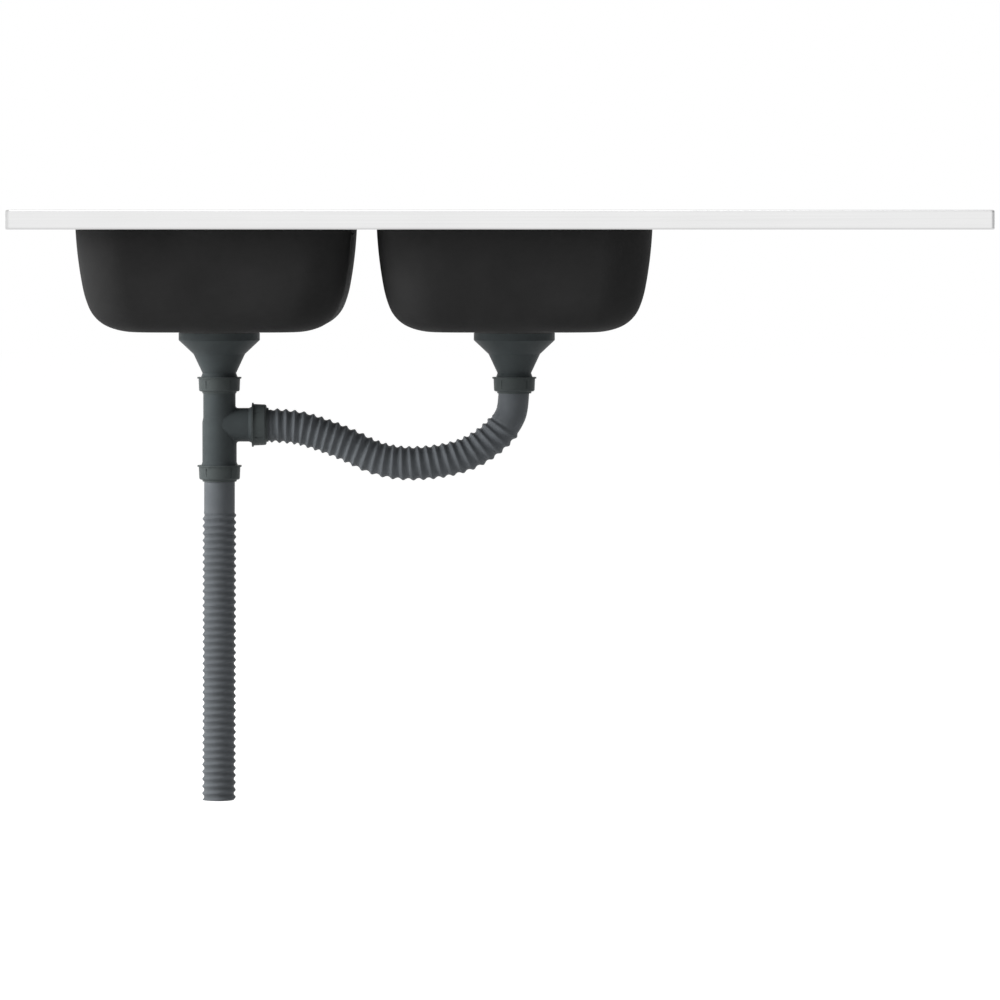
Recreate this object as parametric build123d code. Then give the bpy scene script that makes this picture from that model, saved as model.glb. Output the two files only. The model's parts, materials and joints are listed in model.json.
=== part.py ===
"""Lay-on kitchen sink with two drawn bowls, a drainer on the right and its waste set.

Millimetres. +Z is up, +X runs along the sink towards the drainer and -Y is the front.
The origin is the middle of the deck, on the plane that the folded edge rests on.
"""
import os
from math import atan2, ceil, cos, pi, radians, sin, sqrt, tan

from build123d import *

# ---- deck -------------------------------------------------------------------------------
deck_length = 1200.0
deck_depth = 600.0
edge_height = 24.0          # height of the folded edge
sheet = 0.9                 # steel thickness of the deck and the bowls
deck_corner = 6.0           # corner radius in plan
top_bend = 2.4              # outside radius of the edge's upper bend
hem_bend = 1.6              # outside radius of the edge's lower bend
edge_land = 16.0            # flat band round the top
field_drop = 3.5            # how far the field lies below that band
field_corner = 22.0
field_bend = 3.0            # radius of both bends between band and field
field_lean = 45.0           # slope of the step between band and field
return_lip = 14.0           # width of the lip folded in under the edge, which bears on the cabinet

tap_hole_diameter = 35.0
tap_hole_from_back = 82.0

rib_count = 9               # drainer ribs pressed up from the field
rib_spacing = 46.0
rib_width = 12.0
rib_height = 1.6
rib_from_bowl = 24.7        # from the right bowl's rolled edge to the ribs
rib_from_edge = 46.0        # from the ribs to the deck's end
rib_lean = 45.0

# ---- bowls ------------------------------------------------------------------------------
bowl_width = 336.6          # inside, at the seam under the deck
bowl_depth = 396.6
bowl_corner = 60.0          # inside corner radius at the seam
bowl_gap = 34.4             # between the two bowls, inside to inside
left_margin = 78.7          # from the deck's end to the left bowl's inside
front_margin = 51.7         # from the deck's front to the bowls' inside
mouth_bend = 8.0            # radius that rolls the deck down into each bowl
corner_loss = 0.35          # share of the draw-in that the corner radius loses on the way down
seam_lean = 1.3             # lean of the bowl's wall at the seam, degrees off vertical
side_radius = 518.0         # inside radius of the wall's long upper part
side_lean = 10.7            # lean at its lower end
waist_radius = 125.0        # of the part below it
waist_lean = 22.0
heel_radius = 43.3          # of the tight bend at the foot
heel_lean = 68.0
floor_radius = 80.5         # of the last bend, which ends level
wall_spacing = 7.5          # longest way along the wall between two sections
seat_diameter = 122.0       # pressed seat for the strainer flange
seat_drop = 2.2
waste_hole_diameter = 90.0
coat_thickness = 1.0
coat_below_seam = 4.0       # bare steel left for the weld
coat_hole_margin = 2.5      # bare steel left round the seat

# ---- strainer ---------------------------------------------------------------------------
flange_diameter = 113.0
flange_sheet = 0.8
flange_gasket_thickness = 1.0
gasket_setback = 1.0        # how far a gasket stays inside what it seals
cup_bore = 84.4
cup_depth = 15.3            # from the flange's top to the cup's floor
cup_lead_in = 2.3           # cone at the mouth of the cup
cup_hub = 18.0              # diameter of the hub round the screw
cup_opening = 58.0          # outside diameter of the openings in the floor
spoke_count = 3
spoke_width = 8.0

screw_diameter = 6.0
screw_head_diameter = 12.0
screw_head_height = 3.0
screw_bevel = 1.0
screw_slot = 1.4
screw_slot_depth = 1.2
screw_length = 18.0
screw_gap = 0.1             # radial gap round the screw in the holes it passes
insert_diameter = 9.0
insert_length = 10.0

# ---- basket -----------------------------------------------------------------------------
basket_sheet = 0.8
basket_rim_gap = 0.9        # radial gap between rim and cup
basket_rim = 2.0
basket_height = 9.0
basket_lean = 22.0          # of its wall
seal_height = 5.0
seal_width = 5.6
seal_chamfer = 1.0
seal_setback = 0.2
base_hole = 4.0
ring_count = 4              # rings of holes in the base
first_ring_radius = 12.5
first_ring_hole_count = 8
ring_step = 6.0             # further out for each ring
added_hole_count = 4        # more holes in each ring than in the one inside it
wall_hole = 3.2
wall_hole_count = 24
knob_diameter = 22.0
knob_height = 10.0
knob_stem_diameter = 9.0
knob_stem_height = 15.0
knob_neck_diameter = 6.0    # where it passes the base
knob_under = 17.6           # diameter of the knob's flat underside
knob_skirt = 3.0            # height of the cone from there to the full diameter
knob_band = 2.0             # upright part above the cone
knob_foot = 2.0             # flare of the stem where it stands on the base
knob_rivet_height = 1.0

# ---- waste body -------------------------------------------------------------------------
body_gasket_thickness = 1.8
body_diameter = 102.0
body_wall = 2.4
body_rim = 8.8              # height of the cylinder at the top
shoulder_diameter = 64.8    # where the two cones meet
shoulder_drop = 26.3
throat_diameter = 42.4
throat_drop = 50.2
neck_diameter = 46.0        # over the thread
neck_drop = 55.2
thread_length = 11.6
boss_diameter = 15.0
boss_length = 14.0
boss_gap = 4.2              # from the cup's floor down to the boss
web_count = 3
web_width = 2.6
web_turn = 30.0             # where the first web points, degrees from +X

# ---- pipes, nuts and washers --------------------------------------------------------------
pipe_diameter = 40.7        # the tee's spigot
cuff_diameter = 38.6        # smooth end of a hose
socket_gap = 0.25           # radial, between a pipe and its socket
spigot_depth = 12.1         # how far the spigot goes in
cuff_depth = 22.0           # how far a cuff goes in
socket_ledge = 2.0          # height of the ledge that stops a cuff
ledge_overhang = 1.0        # how far the ledge's opening is larger than a hose's bore
nut_flange_diameter = 55.6
nut_flange = 1.9
nut_diameter = 52.4         # under its flange
nut_end_diameter = 51.2
nut_body = 16.2
nut_round = 2.4
nut_collar = 2.4
nut_collar_diameter = 43.6
nut_collar_draft = 0.4
nut_thread_gap = 0.3
nut_hole_gap = 0.35
grip_count = 5
grip_width = 2.2
grip_depth = 0.9
grip_length = 11.0
grip_start = 2.0            # from the nut's flange to the groove
washer_height = 4.0
washer_cone = 2.0           # height of its tapered part
washer_land = 1.3           # width of its small end
washer_gap = 0.1
washer_setback = 0.5

# ---- tee --------------------------------------------------------------------------------
tee_run_diameter = 43.2
tee_branch_diameter = 42.4
tee_bore = 35.6
tee_taper = 6.0             # length of the cone from spigot to run
tee_taper_top = 9.2         # height of that cone's top above the branch's axis
spigot_play = 0.5           # end gap between the spigot and the step that stops it
branch_drop = 48.5          # from the waste body's lower end to the branch's axis
branch_reach = 52.7         # from the tee's axis to the branch's end
tee_tail = 62.5             # from the branch's axis to the tee's lower end
tee_flare = 4.0             # length of the cones that widen to the threads
tee_fillet = 3.0

# ---- hoses ------------------------------------------------------------------------------
hose_bore = 33.6
drain_crest = 41.6
drain_valley = 36.9
link_crest = 43.2           # the link hose is ribbed deeper, so that it bends
link_valley = 37.5
rib_shares = (0.20, 0.40, 0.65, 0.85)       # valley from and to, crest from and to, in one pitch
cuff_cut_count = 6          # sections along the cuff that lies in a bend
link_lead_left = 57.5       # straight run out of the tee's branch
link_lead_right = 46.0      # straight run down out of the right waste
link_sag = 49.0             # lowest point of its route below the branch's axis
link_route = [              # between those runs: share of the way between the bowls, share of the sag
    (0.3477, 0.245),
    (0.4407, 0.531),
    (0.5256, 0.857),
    (0.6132, 1.0),
    (0.7143, 0.98),
    (0.8032, 0.857),
    (0.8706, 0.653),
    (0.9326, 0.316),
    (0.9771, -0.061),
]
link_pitch = 11.1
link_cuff_left = 31.0       # smooth length at the tee
link_cuff_right = 70.0      # smooth length at the right waste
drain_pitch = 9.1
drain_cuff = 68.5
drain_length = 433.0        # the whole hose, cuff included

past = 1.0                  # how far a cutting shape reaches past what it cuts
level_slack = 0.01          # an edge this near to a level lies on it

# ---- places worked out from the sizes above -----------------------------------------------
wall_bends = [              # inside radius, and lean at its lower end
    (side_radius, side_lean),
    (waist_radius, waist_lean),
    (heel_radius, heel_lean),
    (floor_radius, 90.0),
]
bowl_pitch = bowl_width + bowl_gap
left_bowl_x = -deck_length / 2 + left_margin + bowl_width / 2
right_bowl_x = left_bowl_x + bowl_pitch
bowl_y = -deck_depth / 2 + front_margin + bowl_depth / 2
field_level = edge_height - field_drop
seam_level = field_level - mouth_bend
bend_share = tan(radians(field_lean / 2))   # how far such a corner moves per unit of offset

wall_leans = [seam_lean] + [lean for radius, lean in wall_bends]
wall_drops = [
    radius * (sin(radians(lean)) - sin(radians(start)))
    for (radius, lean), start in zip(wall_bends, wall_leans)
]
floor_level = seam_level - sum(wall_drops)
seat_level = floor_level - seat_drop
seat_under = seat_level - sheet

flange_top = seat_level + flange_gasket_thickness + flange_sheet
cup_floor = flange_top - cup_depth
boss_top = cup_floor - flange_sheet - boss_gap

body_top = seat_under - body_gasket_thickness
shoulder_level = body_top - shoulder_drop
throat_level = body_top - throat_drop
neck_level = body_top - neck_drop
body_end = neck_level - thread_length
socket_level = body_end + spigot_depth      # the step that stops the tee's spigot
cuff_level = body_end + cuff_depth          # the ledge that stops a hose cuff

branch_level = body_end - branch_drop
branch_end = left_bowl_x + branch_reach
tee_end = branch_level - tee_tail
drain_top = tee_end + cuff_depth


def slab(half_x, half_y, corner, low, high, centre=(0.0, 0.0), lean=0.0):
    """Upright block with rounded corners; its sides lean in by `lean` degrees."""
    outline = RectangleRounded(2 * half_x, 2 * half_y, corner)
    return extrude(Pos(centre[0], centre[1], low) * outline, high - low, taper=lean)


def at_level(shape, level):
    """Edges of a shape that lie wholly on one level."""
    return shape.edges().filter_by(
        lambda edge: abs(edge.bounding_box().min.Z - level) < level_slack
        and abs(edge.bounding_box().max.Z - level) < level_slack
    )


def turned(points, centre_x=0.0):
    """Solid of revolution from (radius, level) points, about an upright axis over the bowl's middle."""
    outline = make_face(Polyline(*[(r, 0, z) for r, z in points], close=True))
    return Pos(centre_x, bowl_y, 0) * revolve(outline, Axis.Z)


def ring(inner, outer, low, high, centre_x=0.0):
    """Plain ring given by its diameters."""
    return turned(
        [(inner / 2, low), (outer / 2, low), (outer / 2, high), (inner / 2, high)], centre_x
    )


def parallel(points, gap):
    """Path that runs `gap` to the left of an open path of (x, y) points."""
    runs = []
    for (x0, y0), (x1, y1) in zip(points, points[1:]):
        length = sqrt((x1 - x0) ** 2 + (y1 - y0) ** 2)
        dx, dy = (x1 - x0) / length, (y1 - y0) / length
        runs.append((x0 - gap * dy, y0 + gap * dx, dx, dy, length))
    path = [runs[0][:2]]
    for (x0, y0, dx0, dy0, _), (x1, y1, dx1, dy1, _) in zip(runs, runs[1:]):
        cross = dx0 * dy1 - dy0 * dx1
        along = ((x1 - x0) * dy1 - (y1 - y0) * dx1) / cross
        path.append((x0 + along * dx0, y0 + along * dy0))
    x, y, dx, dy, length = runs[-1]
    return path + [(x + dx * length, y + dy * length)]


# ---- deck -------------------------------------------------------------------------------
def bowl_mouth(skin, low, high, centre_x):
    """Upright block through a bowl's mouth, `skin` outside its inner surface."""
    half_x, half_y = bowl_width / 2 + skin, bowl_depth / 2 + skin
    return slab(half_x, half_y, bowl_corner + skin, low, high, (centre_x, bowl_y))


def deck_block(skin):
    """Block bounded by the deck's upper surface moved in by `skin`, with its bowl mouths."""
    half_x, half_y = deck_length / 2 - skin, deck_depth / 2 - skin
    top, floor = edge_height - skin, field_level - skin
    block = slab(half_x, half_y, deck_corner - skin, skin, top)
    block = fillet(at_level(block, top), top_bend - skin)
    block = fillet(at_level(block, skin), hem_bend - skin)

    field_x = deck_length / 2 - edge_land - field_drop + skin * bend_share
    field_y = deck_depth / 2 - edge_land - field_drop + skin * bend_share
    field = slab(field_x, field_y, field_corner, floor, top + past, lean=-field_lean)
    block -= field
    inner_top = [e for e in at_level(block, top) if abs(e.center().X) < half_x - edge_land / 2
                 and abs(e.center().Y) < half_y - edge_land / 2]
    block = fillet(inner_top, field_bend - skin)
    block = fillet(at_level(block, floor), field_bend + skin)

    rib_start = right_bowl_x + bowl_width / 2 + mouth_bend + rib_from_bowl
    rib_end = deck_length / 2 - rib_from_edge
    rib_x, rib_length = (rib_start + rib_end) / 2, rib_end - rib_start
    for index in range(rib_count):
        rib_y = (index - (rib_count - 1) / 2) * rib_spacing
        outline = SlotOverall(rib_length - 2 * skin * bend_share, rib_width - 2 * skin * bend_share)
        block += extrude(Pos(rib_x, rib_y, floor) * outline, rib_height, taper=rib_lean)

    for centre_x in (left_bowl_x, right_bowl_x):
        block -= bowl_mouth(skin, skin, top, centre_x)
        mouth = [
            e for e in at_level(block, floor)
            if abs(e.center().X - centre_x) < bowl_width / 2 + 2 * skin
            and abs(e.center().Y - bowl_y) < bowl_depth / 2 + 2 * skin
        ]
        block = fillet(mouth, mouth_bend - skin)
    return block


def make_deck():
    """Pressed sheet: outer block less the hollow under it, less the opening inside the return lip."""
    deck = deck_block(0.0) - deck_block(sheet)
    for centre_x in (left_bowl_x, right_bowl_x):
        deck -= bowl_mouth(sheet, -past, seam_level, centre_x)
    opening = slab(
        deck_length / 2 - return_lip, deck_depth / 2 - return_lip, field_corner,
        -past, sheet + past,
    )
    tap_y = deck_depth / 2 - tap_hole_from_back
    tap_x = (left_bowl_x + right_bowl_x) / 2
    tap_hole = Pos(tap_x, tap_y, field_level) * Cylinder(tap_hole_diameter / 2, 2 * sheet + 2 * past)
    return deck - opening - tap_hole


# ---- bowls ------------------------------------------------------------------------------
def bowl_block(skin, centre_x):
    """Drawn bowl as a full block, its surface `skin` outside the inner surface.

    The wall is four arcs that meet smoothly, from nearly upright to level.
    """
    sections = []
    inset, level = 0.0, seam_level
    start = seam_lean
    for radius, lean in wall_bends:
        first = 1 if sections else 0
        steps = ceil(radius * radians(lean - start) / wall_spacing)
        for step in range(first, steps + 1):
            angle = radians(start + (lean - start) * step / steps)
            inset_here = inset + radius * (cos(radians(start)) - cos(angle))
            level_here = level - radius * (sin(angle) - sin(radians(start)))
            out = skin * cos(angle)
            down = skin * sin(angle) if sections else 0.0
            outline = RectangleRounded(
                bowl_width - 2 * inset_here + 2 * out,
                bowl_depth - 2 * inset_here + 2 * out,
                bowl_corner - corner_loss * inset_here + out,
            )
            sections.append(Pos(centre_x, bowl_y, level_here - down) * outline)
        inset, level, start = inset_here, level_here, lean
    return loft(sections)


def make_bowl(centre_x):
    """Steel bowl with its pressed strainer seat and waste hole."""
    bowl = bowl_block(sheet, centre_x) - bowl_block(0.0, centre_x)
    bowl -= ring(0.0, seat_diameter, seat_level - past, floor_level + past, centre_x)
    seat_radius, hole_radius = seat_diameter / 2, waste_hole_diameter / 2
    slope = seat_radius - seat_drop
    bowl += turned([
        (seat_radius, floor_level),
        (slope, seat_level),
        (hole_radius, seat_level),
        (hole_radius, seat_under),
        (slope + sheet * bend_share, seat_under),
        (seat_radius, floor_level - sheet),
    ], centre_x)
    return bowl


def make_coat(centre_x):
    """Sound coat: a skin outside the bowl, from below the seam to the edge of the seat."""
    coat = bowl_block(sheet + coat_thickness, centre_x) - bowl_block(sheet, centre_x)
    bare = slab(
        bowl_width, bowl_depth, bowl_corner,
        seam_level - coat_below_seam, seam_level + past, (centre_x, bowl_y),
    )
    under = floor_level - sheet - coat_thickness
    hole = ring(0.0, seat_diameter + 2 * coat_hole_margin, under - past, floor_level, centre_x)
    return coat - bare - hole


# ---- strainer ---------------------------------------------------------------------------
def make_strainer_flange(centre_x):
    """Pressed cup with a wide flange; its floor is open between spokes round the screw hub."""
    bore, mouth = cup_bore / 2, cup_bore / 2 + cup_lead_in
    under = flange_top - flange_sheet
    cup_wall = bore + flange_sheet
    cup = turned([
        (0.0, cup_floor), (bore, cup_floor), (bore, flange_top - cup_lead_in),
        (mouth, flange_top), (flange_diameter / 2, flange_top), (flange_diameter / 2, under),
        (mouth + flange_sheet * bend_share, under),
        (cup_wall, under - cup_lead_in + flange_sheet * bend_share),
        (cup_wall, cup_floor - flange_sheet), (0.0, cup_floor - flange_sheet),
    ], centre_x)
    low, high = cup_floor - flange_sheet - past, cup_floor + past
    openings = ring(cup_hub, cup_opening, low, high, centre_x)
    for index in range(spoke_count):
        spoke = Box(
            cup_opening, spoke_width, 2 * (high - low), align=(Align.MIN, Align.CENTER, Align.CENTER)
        )
        turn = 360.0 / spoke_count * index + 90.0
        openings -= Pos(centre_x, bowl_y, cup_floor) * Rot(0, 0, turn) * spoke
    hole = ring(0.0, screw_diameter + 2 * screw_gap, low, high, centre_x)
    return cup - openings - hole


def make_flange_gasket(centre_x):
    return ring(
        waste_hole_diameter + 2 * gasket_setback, flange_diameter - 2 * gasket_setback,
        seat_level, seat_level + flange_gasket_thickness, centre_x,
    )


def make_body_gasket(centre_x):
    return ring(
        waste_hole_diameter + 2 * gasket_setback, body_diameter - gasket_setback,
        body_top, seat_under, centre_x,
    )


def make_clamp_screw(centre_x):
    """Slotted screw from the cup's floor into the insert, its head and point bevelled."""
    head, shank = screw_head_diameter / 2, screw_diameter / 2
    top, point = cup_floor + screw_head_height, cup_floor - screw_length
    screw = turned([
        (0.0, top), (head - screw_bevel, top), (head, top - screw_bevel), (head, cup_floor),
        (shank, cup_floor), (shank, point + screw_bevel), (shank - screw_bevel, point), (0.0, point),
    ], centre_x)
    slot = Box(screw_head_diameter, screw_slot, 2 * screw_slot_depth)
    return screw - Pos(centre_x, bowl_y, top) * slot


def make_screw_insert(centre_x):
    return ring(
        screw_diameter + 2 * screw_gap, insert_diameter, boss_top - insert_length, boss_top,
        centre_x,
    )


# ---- basket -----------------------------------------------------------------------------
basket_base = cup_floor + seal_height
basket_rim_radius = cup_bore / 2 - basket_rim_gap
basket_mouth_radius = basket_rim_radius - basket_rim
basket_base_radius = basket_mouth_radius - basket_height * tan(radians(basket_lean))


def make_basket(centre_x):
    """Perforated pressed cup with a flat rim."""
    low, high = basket_base, basket_base + basket_height
    steel = basket_sheet
    side = steel / cos(radians(basket_lean))
    basket = turned([
        (0.0, low), (basket_base_radius, low),
        (basket_mouth_radius, high - steel), (basket_rim_radius, high - steel),
        (basket_rim_radius, high), (basket_mouth_radius - side, high),
        (basket_base_radius - side + steel * tan(radians(basket_lean)), low + steel),
        (0.0, low + steel),
    ], centre_x)
    middle = Pos(centre_x, bowl_y, low)
    holes = [Cylinder(knob_neck_diameter / 2, 4 * steel)]
    for index in range(ring_count):
        radius = first_ring_radius + index * ring_step
        count = first_ring_hole_count + index * added_hole_count
        holes += PolarLocations(radius, count) * Cylinder(base_hole / 2, 4 * steel)
    basket -= [middle * hole for hole in holes]
    start = basket_base_radius - side - past
    reach = basket_rim_radius - start
    drill = Cylinder(wall_hole / 2, reach, align=(Align.CENTER, Align.CENTER, Align.MIN))
    level = Pos(0, 0, basket_height / 2)
    spread = PolarLocations(start, wall_hole_count)
    basket -= [middle * level * hole for hole in spread * (Rot(0, 90, 0) * drill)]
    return basket


def make_basket_seal(centre_x):
    """Rubber ring under the basket, bevelled where it seats on the cup's floor."""
    outer, bevel = basket_base_radius - seal_setback, seal_chamfer
    inner = outer - seal_width
    return turned([
        (inner, basket_base), (outer, basket_base), (outer, cup_floor + bevel),
        (outer - bevel, cup_floor), (inner + bevel, cup_floor), (inner, cup_floor + bevel),
    ], centre_x)


def make_basket_knob(centre_x):
    """Knob on a stem, riveted through the basket's base."""
    neck, stem, knob = knob_neck_diameter / 2, knob_stem_diameter / 2, knob_diameter / 2
    base = basket_base + basket_sheet
    cap = base + knob_stem_height
    top = cap + knob_height
    rivet, brim = basket_base - knob_rivet_height, cap + knob_skirt + knob_band
    profile = Polyline(
        (0, 0, rivet), (stem, 0, rivet), (stem, 0, basket_base), (neck, 0, basket_base),
        (neck, 0, base), (stem + knob_foot, 0, base), (stem, 0, base + knob_foot), (stem, 0, cap),
        (knob_under / 2, 0, cap), (knob, 0, cap + knob_skirt), (knob, 0, brim),
    )
    dome = TangentArc((0, 0, top), (knob, 0, brim), tangent=(1, 0, 0))
    back = Line((0, 0, top), (0, 0, rivet))
    outline = make_face(Curve() + [profile, dome, back])
    return Pos(centre_x, bowl_y, 0) * revolve(outline, Axis.Z)


# ---- waste body -------------------------------------------------------------------------
def make_waste_body(centre_x):
    """Funnel with a threaded neck, a stepped socket and a webbed boss for the clamp screw."""
    outer = [
        (body_diameter / 2, body_top),
        (body_diameter / 2, body_top - body_rim),
        (shoulder_diameter / 2, shoulder_level),
        (throat_diameter / 2, throat_level),
    ]
    neck = [(neck_diameter / 2, neck_level), (neck_diameter / 2, body_end)]
    inner = parallel(outer[::-1], body_wall)[1:]
    spigot_socket = pipe_diameter / 2 + socket_gap
    cuff_socket = cuff_diameter / 2 + socket_gap
    ledge = hose_bore / 2 + ledge_overhang
    (cone_x, cone_z), (wide_x, wide_z) = inner[0], inner[1]
    ledge_top = cuff_level + socket_ledge
    lean = (outer[2][0] - outer[3][0]) / (outer[2][1] - outer[3][1])
    ledge_out = cone_x - (cone_z - ledge_top) * lean
    inside = [
        (spigot_socket, body_end), (spigot_socket, socket_level),
        (cuff_socket, socket_level), (cuff_socket, cuff_level),
        (ledge, cuff_level), (ledge, ledge_top), (ledge_out, ledge_top),
    ] + inner
    shell = turned(outer + neck + inside, centre_x)

    boss_low = boss_top - boss_length
    webs = []
    for index in range(web_count):
        web = Box(body_diameter / 2, web_width, boss_length, align=(Align.MIN, Align.CENTER, Align.MIN))
        turn = 360.0 / web_count * index + web_turn
        webs.append(Pos(centre_x, bowl_y, boss_low) * Rot(0, 0, turn) * web)
    middle = body_wall / 2
    slope = [(x - middle, z) for x, z in outer]
    cone = turned([(0.0, body_top)] + slope + [(0.0, throat_level)], centre_x)
    spider = (webs[0] + webs[1:]) & cone
    spider += ring(0.0, boss_diameter, boss_low, boss_top, centre_x)
    spider -= ring(0.0, insert_diameter, boss_top - insert_length, boss_top + past, centre_x)
    spider -= ring(0.0, screw_diameter + 2 * screw_gap, boss_low - past, boss_top, centre_x)
    return shell + spider


# ---- nuts and washers -------------------------------------------------------------------
def union_nut(place):
    """Union nut along its own +Z, its flange at the origin; grips are cut in its side."""
    flange, body, end = nut_flange_diameter / 2, nut_diameter / 2, nut_end_diameter / 2
    thread = neck_diameter / 2 + nut_thread_gap
    hole = pipe_diameter / 2 + nut_hole_gap
    length = nut_flange + nut_body
    shoulder = thread_length + washer_height
    side = Polyline(
        (thread, 0, 0), (flange, 0, 0), (flange, 0, nut_flange), (body, 0, nut_flange),
        (end, 0, length - nut_round),
    )
    bend = ThreePointArc(
        (end, 0, length - nut_round),
        (end - nut_round * (1 - cos(radians(45))), 0, length - nut_round * (1 - sin(radians(45)))),
        (end - nut_round, 0, length),
    )
    rest = Polyline(
        (end - nut_round, 0, length), (nut_collar_diameter / 2, 0, length),
        (nut_collar_diameter / 2 - nut_collar_draft, 0, length + nut_collar),
        (hole, 0, length + nut_collar),
        (hole, 0, shoulder), (thread, 0, shoulder), (thread, 0, 0),
    )
    nut = revolve(make_face(Curve() + [side, bend, rest]), Axis.Z)
    grip = Box(2 * grip_depth, grip_width, grip_length, align=(Align.CENTER, Align.CENTER, Align.MIN))
    start = 360.0 / grip_count / 2 - 90.0
    spread = PolarLocations(body, grip_count, start)
    nut -= [Pos(0, 0, nut_flange + grip_start) * cutter for cutter in spread * grip]
    return place * nut


def cone_washer(place, held_diameter):
    """Tapered sealing ring that a union nut presses against the threaded end."""
    inner = held_diameter / 2 + washer_gap
    outer = neck_diameter / 2 - washer_setback
    outline = make_face(Polyline(
        (inner, 0, 0), (inner + washer_land, 0, 0), (outer, 0, washer_cone),
        (outer, 0, washer_height), (inner, 0, washer_height), close=True,
    ))
    return place * revolve(outline, Axis.Z)


def hanging(centre_x, level):
    """Place whose +Z points down, on an upright axis; its front stays in front."""
    return Pos(centre_x, bowl_y, level) * Rot(0, 180, 0)


def sideways(x, level):
    """Place whose +Z points along +X, with the grips turned as on the other nuts."""
    return Pos(x, bowl_y, level) * Rot(0, 90, 0)


# ---- tee --------------------------------------------------------------------------------
def make_tee():
    """Straight run with a spigot on top, a threaded socket below and one on the side."""
    run, spigot, neck = tee_run_diameter / 2, pipe_diameter / 2, neck_diameter / 2
    branch = tee_branch_diameter / 2
    spigot_top = socket_level - spigot_play
    taper_top = branch_level + tee_taper_top
    thread_top = tee_end + thread_length
    body = turned([
        (0.0, spigot_top), (spigot, spigot_top), (spigot, taper_top),
        (run, taper_top - tee_taper), (run, thread_top + tee_flare), (neck, thread_top),
        (neck, tee_end), (0.0, tee_end),
    ], left_bowl_x)
    thread_start = branch_reach - thread_length
    arm = make_face(Polyline(
        (0, 0, 0), (branch, 0, 0), (branch, 0, thread_start - tee_flare), (neck, 0, thread_start),
        (neck, 0, branch_reach), (0, 0, branch_reach), close=True,
    ))
    side = Pos(left_bowl_x, bowl_y, branch_level) * Rot(0, 90, 0)
    body += side * revolve(arm, Axis.Z)
    joint = body.edges().filter_by(
        lambda edge: edge.geom_type not in (GeomType.CIRCLE, GeomType.LINE)
    )
    body = fillet(joint, tee_fillet)

    socket = cuff_diameter / 2 + socket_gap
    body -= ring(0.0, tee_bore, tee_end - past, spigot_top + past, left_bowl_x)
    body -= ring(0.0, 2 * socket, tee_end - past, drain_top, left_bowl_x)
    inner = Cylinder(tee_bore / 2, branch_reach + past, align=(Align.CENTER, Align.CENTER, Align.MIN))
    deep = Cylinder(socket, cuff_depth + past, align=(Align.CENTER, Align.CENTER, Align.MIN))
    return body - side * inner - side * Pos(0, 0, branch_reach - cuff_depth) * deep


# ---- hoses ------------------------------------------------------------------------------
def ribbed_tube(name, path, cuff_start, cuff_end, pitch, valley, crest):
    """Hose along a path: smooth cuffs, then ribs as a ruled loft through four circles each."""
    length = path.length
    count = round((length - cuff_start - cuff_end) / pitch)
    step = (length - cuff_start - cuff_end) / count
    stations = [(0.0, cuff_diameter), (cuff_start, cuff_diameter)]
    if cuff_start > 4 * step:
        stations.insert(1, (cuff_start / 2, cuff_diameter))
    for index in range(count):
        here = cuff_start + index * step
        diameters = (valley, valley, crest, crest)
        stations += [(here + share * step, size) for share, size in zip(rib_shares, diameters)]
    last = cuff_start + count * step
    stations.append((last, valley if cuff_end == 0 else cuff_diameter))
    if cuff_end:
        cuts = range(1, cuff_cut_count + 1)
        stations += [(last + cuff_end * cut / cuff_cut_count, cuff_diameter) for cut in cuts]
    sections = []
    for along, diameter in stations:
        spot, way = path.position_at(along / length), path.tangent_at(along / length)
        sections.append(Plane(spot, x_dir=(0, 1, 0), z_dir=way) * Circle(diameter / 2))
    tube = loft(sections, ruled=True)
    print(f"{name}: {length:.1f} mm long, {count} ribs at {step:.2f} mm")
    return tube


def bored(name, tube, path):
    """Tube less its bore, with the bore's volume compared with its section times its length."""
    start = Plane(path.position_at(0), x_dir=(0, 1, 0), z_dir=path.tangent_at(0))
    bore = sweep(start * Circle(hose_bore / 2), path=path)
    ideal = pi * (hose_bore / 2) ** 2 * path.length
    print(f"{name}: bore volume is {bore.volume / ideal:.4f} of its section times its length")
    return tube - bore


def route_radii(points):
    """Bend radius at each corner: 0.45 of the shorter run over the tangent of half the turn."""
    radii = []
    for (x0, z0), (x1, z1), (x2, z2) in zip(points, points[1:], points[2:]):
        first, second = atan2(z1 - z0, x1 - x0), atan2(z2 - z1, x2 - x1)
        shorter = min(sqrt((x1 - x0) ** 2 + (z1 - z0) ** 2), sqrt((x2 - x1) ** 2 + (z2 - z1) ** 2))
        radii.append(0.45 * shorter / tan(abs(second - first) / 2))
    return radii


def make_link_hose():
    """Link hose: out of the tee's branch, down in a shallow sag and up into the right waste."""
    left, right = (branch_end - cuff_depth, branch_level), (right_bowl_x, cuff_level)
    out = (left[0] + link_lead_left, branch_level)
    down = (right_bowl_x, right[1] - link_lead_right)
    route = [
        (left_bowl_x + across * bowl_pitch, branch_level - lower * link_sag)
        for across, lower in link_route
    ]
    points = [left, out] + route + [down, right]
    radii = route_radii(points)
    print("link hose radii:", ", ".join(f"{radius:.0f}" for radius in radii))
    path = FilletPolyline(*[(x, bowl_y, z) for x, z in points], radius=radii).wire()
    cuffs = (link_cuff_left, link_cuff_right)
    tube = ribbed_tube("link hose", path, *cuffs, link_pitch, link_valley, link_crest)
    return bored("link hose", tube, path)


def make_drain_hose():
    """Drain hose: hangs straight down from the tee and ends cut square."""
    top = (left_bowl_x, bowl_y, drain_top)
    low = (left_bowl_x, bowl_y, drain_top - drain_length)
    path = Wire([Edge.make_line(top, low)])
    tube = ribbed_tube("drain hose", path, drain_cuff, 0.0, drain_pitch, drain_valley, drain_crest)
    return bored("drain hose", tube, path)


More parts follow.
